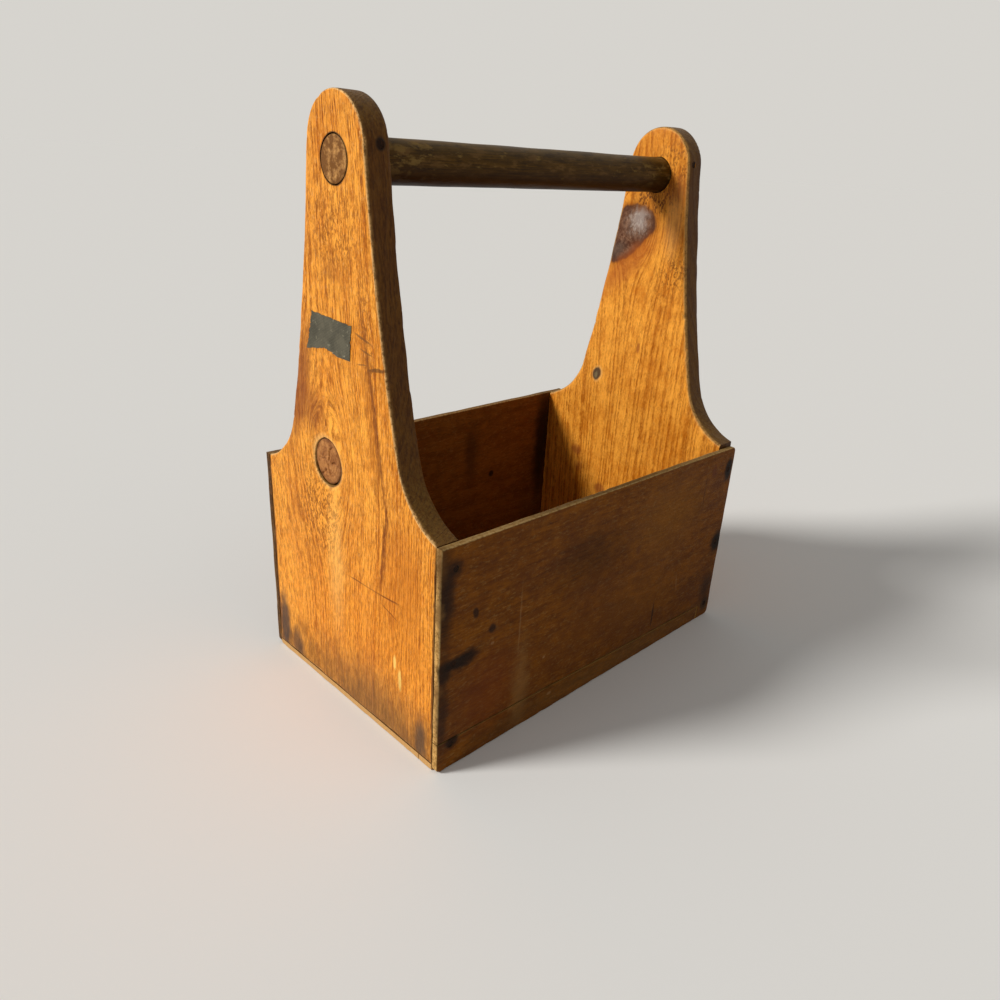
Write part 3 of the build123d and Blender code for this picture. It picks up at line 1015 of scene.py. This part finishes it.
@dataclass
class EndBoards:
    """The two thick pine ends, their grain upright."""

    outer: float = 156.0
    inner: float = 138.0

    def left_finish(self) -> BoardFinish:
        """Describe the near end board, whose outer face is the one that the eye meets first.

        Returns:
            Its finish.
        """
        return BoardFinish(
            name="shellacked_pine_left", grain=Grain.UPRIGHT,
            rings=Rings(pith_across=72, pith_depth=-205, spacing=2.7),
            outer_depth=-self.outer, inner_depth=-self.inner, pale="#fdaa3e", deep="#8a4600",
            # Its edges are dark with grime and painted shade together; its pale rubbed arrises show
            # only on its lit outer side, partly a painted highlight.
            patina="#b96206", edge="#2c1602", grime="#6e4a1c", bare="#f2bd78", bare_and_lit_side=-1,
            fibre_force=3.2, pit_force=1.2, flake_amount=0.3, crisp=0.2, blotch_amount=0.5,
            knots=(Knot(17, 177, 15.5, 16.3, shows=False),), marks=LEFT_MARKS)

    def right_finish(self) -> BoardFinish:
        """Describe the far end board, whose inner face shows, with a big knot under the handle.

        Returns:
            Its finish.
        """
        return BoardFinish(
            name="shellacked_pine_right", grain=Grain.UPRIGHT,
            rings=Rings(pith_across=-150, pith_depth=90, spacing=4.9, lean_across=0.8),
            outer_depth=self.outer, inner_depth=self.inner, pale="#fdaa3c", deep="#8a4600",
            # Its edges are dark with grime and painted shade together; its pale rubbed arrises show
            # only on its lit inner side, partly a painted highlight.
            patina="#bb6408", edge="#2c1a04", grime="#6a4622", bare="#e8b268", bare_and_lit_side=-1,
            bare_amount=0.4, sway=9, ring_strength=0.88, fibre_force=1.9, strand_force=0.4,
            pit_force=1.0, patina_amount=0.6, inner_marks=RIGHT_INNER_MARKS,
            knots=(
                Knot(15, 320, 20, 14, reach=0.95, stretch=1.7, colour="#4a2a1c", heart="#86624a"),
                Knot(22, 307, 13, 27, reach=0, turn=-48.6),
            ))

    def build(self, shop: Workshop) -> None:
        """Make and dress both boards.

        Args:
            shop: the workshop.
        """
        for side, finish, seed in (("left", self.left_finish(), 3.1),
                                   ("right", self.right_finish(), 8.7)):
            shop.wear_down(f"{side}_end_board", 0, Wear(seed), finish.build(), "end_board_pine")


@dataclass
class SideBoards:
    """The thin sides, browned by handling, the front one split along its foot."""

    outer: float = 98.5
    inner: float = 93.5

    def finish(self, name: str, side: int, **own: object) -> BoardFinish:
        """Describe a side board.

        Args:
            name: the finish's name.
            side: minus one for the front and one for the back.
            **own: what this board has of its own.

        Returns:
            Its finish.
        """
        return BoardFinish(
            name=name, grain=Grain.SIDEWAYS, outer_depth=side * self.outer,
            inner_depth=side * self.inner, ring_strength=0.4, patina_amount=0.7, edge_amount=0.7,
            blotch_amount=0.8, fibre_force=2.0, strand_force=0.9, pit_force=1.0, shine=0.08,
            grime_height=-12.0, roughness=0.55, **own)

    def build(self, shop: Workshop) -> None:
        """Make and dress the front board, its split strip and the back board.

        The front has iron stains at the nails, scuffs and a pale top edge, partly worn and partly
        painted light from above. The back shows its inner face in the shade.

        Args:
            shop: the workshop.
        """
        front = self.finish(
            "handled_pine_front", -1, marks=FRONT_MARKS,
            rings=Rings(pith_across=40, pith_depth=-160, spacing=4.4, lean_across=1.0,
                        lean_depth=0.6),
            pale="#7d4706", deep="#3d1c00", patina="#562a02", edge="#7c5a26", grime="#462a08",
            # The pale tint on the top edge is partly settled dirt and partly painted light from
            # above.
            bare="#b99660", dust_and_top_light="#9c8250", end_wood="#cfa05c", end_amount=1.0, bare_amount=0.9,
            bare_from=20.0).build()
        back = self.finish(
            "handled_pine_back", 1, marks=BACK_MARKS, inner_marks=BACK_INNER_MARKS,
            rings=Rings(pith_across=110, pith_depth=160, spacing=4.2, lean_across=-1.2),
            pale="#814e16", deep="#4d2607", patina="#66360a", edge="#6d4a22", grime="#4c2f10",
            bare="#c09a64", end_wood="#2e1a0c", end_amount=0.85).build()
        for node, coat, seed in (("front_side_board", front, 21.3),
                                 ("front_split_strip", front, 21.3),
                                 ("back_side_board", back, 33.9)):
            wear = Wear(seed, arris_radius=0.5, dent=0.16, rub=0.3, chip=0.9, lip=1.4)
            shop.wear_down(node, 1, wear, coat, "side_board_pine")


@dataclass
class Floor:
    """The thin floor under the ends: a wide board and a narrow strip along the front."""

    top: float = 5.0
    underside: float = 0.0

    def build(self, shop: Workshop) -> None:
        """Make and dress the floor's two boards.

        Args:
            shop: the workshop.
        """
        coat = BoardFinish(
            name="worn_floor_pine", grain=Grain.FLAT, outer_depth=self.top,
            inner_depth=self.underside, rings=Rings(pith_across=130, pith_depth=-60, spacing=4.0),
            pale="#7d5630", deep="#553519", patina="#5f3c1e", edge="#d8a866", grime="#553c24",
            bare="#cfa266", end_wood="#bd9058", end_amount=0.9, ring_strength=0.45,
            patina_amount=0.7, edge_amount=0.8, grime_height=-60.0, roughness=0.62,
            marks=FLOOR_MARKS).build()
        for node, seed in (("floor_board", 41.7), ("floor_strip", 47.1)):
            wear = Wear(seed, arris_radius=0.4, dent=0.15, rub=0.25, chip=0.8, lip=1.4)
            shop.wear_down(node, 2, wear, coat, "floor_pine")


@dataclass
class LooseKnot:
    """The branch heart in its hole: an oval plug with a crowned face, ripples and open checks.

    Each check gives its direction round the knot in radians, and where it starts and stops on the
    way from the middle at 0 to the rim at 1.
    """

    across: float = 17.25
    height: float = 177.25
    half_across: float = 14.1
    half_height: float = 14.9
    turn: float = 20.0
    ripple: float = 0.12
    crown_points: int = 22
    check_depth: float = 1.1
    checks: tuple[tuple[float, float, float], ...] = (
        (0.4, 0.15, 0.7), (2.3, 0.0, 0.85), (3.5, 0.3, 0.95), (4.9, 0.1, 0.6), (5.6, 0.45, 1.0))

    def build(self, shop: Workshop) -> None:
        """Spin the plug from its profile, then open the checks and place it in its hole.

        Args:
            shop: the workshop.
        """
        low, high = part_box("loose_knot")
        steps, front = self.crown_points, high.x - low.x
        shape = bmesh.new()
        profile = [(number / steps, front / MM - 0.2 - 0.5 * (number / steps) ** 8
                    + self.ripple * math.sin(number * 1.9)) for number in range(steps + 1)]
        profile += [(0.97, 2.0), (0.97, 0.0), (0.0, 0.0)]
        verts = [shape.verts.new((reach, 0, height * MM)) for reach, height in profile]
        edges = [shape.edges.new(pair) for pair in zip(verts, verts[1:])]
        bmesh.ops.spin(shape, geom=[*verts, *edges], cent=(0, 0, 0), axis=(0, 0, 1),
                       angle=math.tau, steps=120, use_merge=True)
        bmesh.ops.remove_doubles(shape, verts=shape.verts[:], dist=0.001)
        bmesh.ops.recalc_face_normals(shape, faces=shape.faces[:])
        for vert in shape.verts:
            reach = math.hypot(vert.co.x, vert.co.y)
            if vert.co.z < 3 * MM or reach > 0.999:
                continue
            turn = math.atan2(vert.co.y, vert.co.x) % math.tau
            for angle, start, stop in self.checks:
                bend = angle + 0.12 * math.sin(9 * reach)
                off = abs((turn - bend + math.pi) % math.tau - math.pi) * reach
                if start < reach < stop:
                    vert.co.z -= self.check_depth * MM * max(0.0, 1 - off / 0.07)
            vert.co.z -= 0.25 * MM * max(0.0, noise.noise(vert.co * 4 + Vector((3, 5, 7))))
        for vert in shape.verts:
            ragged = 1 - 0.03 * max(0.0, noise.noise(Vector((vert.co.x, vert.co.y, 0)) * 3))
            vert.co.x *= self.half_across * MM * ragged
            vert.co.y *= self.half_height * MM * ragged
        stand = (Matrix.Translation((high.x, self.across * MM, self.height * MM))
                 @ Matrix.Rotation(-math.radians(self.turn), 4, "X")
                 @ Matrix(((0, 0, -1, 0), (1, 0, 0, 0), (0, 1, 0, 0), (0, 0, 0, 1))))
        bmesh.ops.transform(shape, matrix=stand, verts=shape.verts[:])
        bmesh.ops.recalc_face_normals(shape, faces=shape.faces[:])
        bmesh.ops.triangulate(shape, faces=shape.faces[:])
        shop.finish(shape, "checked_loose_knot", "loose_knot",
                    KnotFinish(self.across, self.height).build(), "knot_wood")


@dataclass
class TapePatch:
    """A scrap of cloth tape, torn at its rim and not quite flat."""

    cut: float = 1.0
    torn: float = 2.0
    lifted: float = 0.12

    def build(self, shop: Workshop) -> None:
        """Cut the CAD's patch into small cells, tear its rim inwards and let it cockle.

        Args:
            shop: the workshop.
        """
        shape = shop.blank("tape_patch")
        shop.dice(shape, "tape_patch", (1, 2), self.cut)
        bmesh.ops.triangulate(shape, faces=shape.faces[:])
        shape.normal_update()
        low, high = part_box("tape_patch")
        middle = (low + high) / 2
        rim = {vert for edge in shape.edges if edge.calc_face_angle(0.0) > 1 for vert in edge.verts}
        moves = []
        for vert in shape.verts:
            place = vert.co / MM
            move = Vector((0, 0, 0))
            if vert in rim:
                pull = 0.25 + noise.noise(place / 4.5) + 0.6 * noise.noise(place / 1.7)
                inward = (middle - vert.co) * Vector((0, 1, 1))
                move = inward.normalized() * (self.torn * MM * max(0.0, pull))
            elif vert.co.x < middle.x:
                move.x = self.lifted * MM * max(0.0, 0.5 + noise.noise(place / 6))
            moves.append(move)
        for vert, move in zip(shape.verts, moves):
            vert.co += move
        shop.finish(shape, "torn_tape_patch", "tape_patch", TapeFinish().build(), "cloth_tape")


@dataclass
class Fittings:
    """The handle, the loose knot, the tape patch and the nails."""

    def build(self, shop: Workshop) -> None:
        """Make and dress them.

        Args:
            shop: the workshop.
        """
        wear = Wear(5.5, arris_radius=0.0, dent=0.3, rub=0.0, chip=0.0)
        shop.wear_down("carrying_handle", 1, wear, HandleFinish().build(), "handle_wood")
        LooseKnot().build(shop)
        TapePatch().build(shop)
        iron = IronFinish().build()
        for nail in NAILS:
            nail.material_slots[0].material = iron
            LOG.info("%s: dressed", nail.name)


@dataclass
class Studio:
    """A pale floor, soft light from the left and behind, and the photograph's camera."""

    floor_colour: str = "#ebe8e2"
    floor_reach: float = 60.0
    key_strength: float = 3.0
    key_from: tuple[float, float, float] = (-0.747, 0.418, 0.518)
    key_spread: float = 16.0
    fill_strength: float = 0.12
    fill_from: tuple[float, float, float] = (0.3, -0.85, 0.45)
    fill_spread: float = 60.0
    world_strength: float = 0.3
    camera_place: tuple[float, float, float] = (-0.4104, -0.3952, 0.3610)
    heading: float = -45.07
    dip: float = -23.35
    roll: float = -3.30
    lens: float = 28.35

    def light(self, name: str, strength: float, towards: Sequence[float], spread: float) -> None:
        """Hang one large soft lamp.

        Args:
            name: the lamp's name.
            strength: its strength.
            towards: the direction in which it lies.
            spread: how wide it looks from the tote, in degrees.
        """
        lamp = bpy.data.lights.new(name, "SUN")
        lamp.energy, lamp.angle = strength, math.radians(spread)
        holder = place_in_scene(name, lamp)
        holder.rotation_mode = "QUATERNION"
        holder.rotation_quaternion = Vector(towards).to_track_quat("Z", "Y")

    def ground(self) -> None:
        """Lay the floor, pale to the camera as far as it reaches."""
        shape = bmesh.new()
        bmesh.ops.create_circle(shape, cap_ends=True, segments=64, radius=self.floor_reach)
        mesh = bpy.data.meshes.new("studio_floor")
        shape.to_mesh(mesh)
        shape.free()
        recipe = Recipe(bpy.data.materials.new("pale_painted_floor"))
        recipe.add("OutputMaterial", recipe.add("BsdfDiffuse", linear(self.floor_colour)))
        mesh.materials.append(recipe.owner)
        floor = place_in_scene("studio_floor", mesh)

    def sky(self) -> None:
        """Fill the room with even light, shown to the camera as bright as the floor far off."""
        world = bpy.data.worlds.new("studio_room")
        bpy.context.scene.world = world
        add = Recipe(world).add
        path = add("LightPath").node.outputs
        seen = path["Is Camera Ray"]
        for ray in ("Is Glossy Ray", "Is Transmission Ray"):
            seen = add("Math ADD", seen, path[ray], use_clamp=True)
        suns = self.key_strength * self.key_from[2] + self.fill_strength * self.fill_from[2]
        plain, shown = [add("Background", linear(colour), strength) for colour, strength in (
            ("#ffffff", self.world_strength),
            (self.floor_colour, self.world_strength + suns / math.pi))]
        add("OutputWorld", add("MixShader", seen, plain, shown))

    def camera(self) -> None:
        """Stand the camera where the photograph was taken."""
        lens = bpy.data.cameras.new("photo_camera")
        lens.sensor_width, lens.lens = 36.0, self.lens
        lens.clip_start = 0.01
        holder = place_in_scene("photo_camera", lens)
        turn = (Matrix.Rotation(math.radians(self.heading), 4, "Z")
                @ Matrix.Rotation(math.radians(self.dip), 4, "X")
                @ Matrix.Rotation(math.radians(self.roll), 4, "Y")
                @ Matrix.Rotation(math.radians(90), 4, "X"))
        holder.matrix_world = Matrix.Translation(self.camera_place) @ turn
        bpy.context.scene.camera = holder

    def build(self) -> None:
        """Set up the studio."""
        self.ground()
        self.light("key", self.key_strength, self.key_from, self.key_spread)
        self.light("fill", self.fill_strength, self.fill_from, self.fill_spread)
        self.sky()
        self.camera()
        bpy.context.scene.view_settings.view_transform = "Standard"


def main() -> None:
    """Build the pieces and the studio, and log each part as it is built."""
    logging.basicConfig(level=logging.INFO, format="%(name)s: %(message)s")
    shop = Workshop()
    for part in (EndBoards(), SideBoards(), Floor(), Fittings()):
        part.build(shop)
        LOG.info("built %s", type(part).__name__)
    Studio().build()


if __name__ == "__main__":
    main()
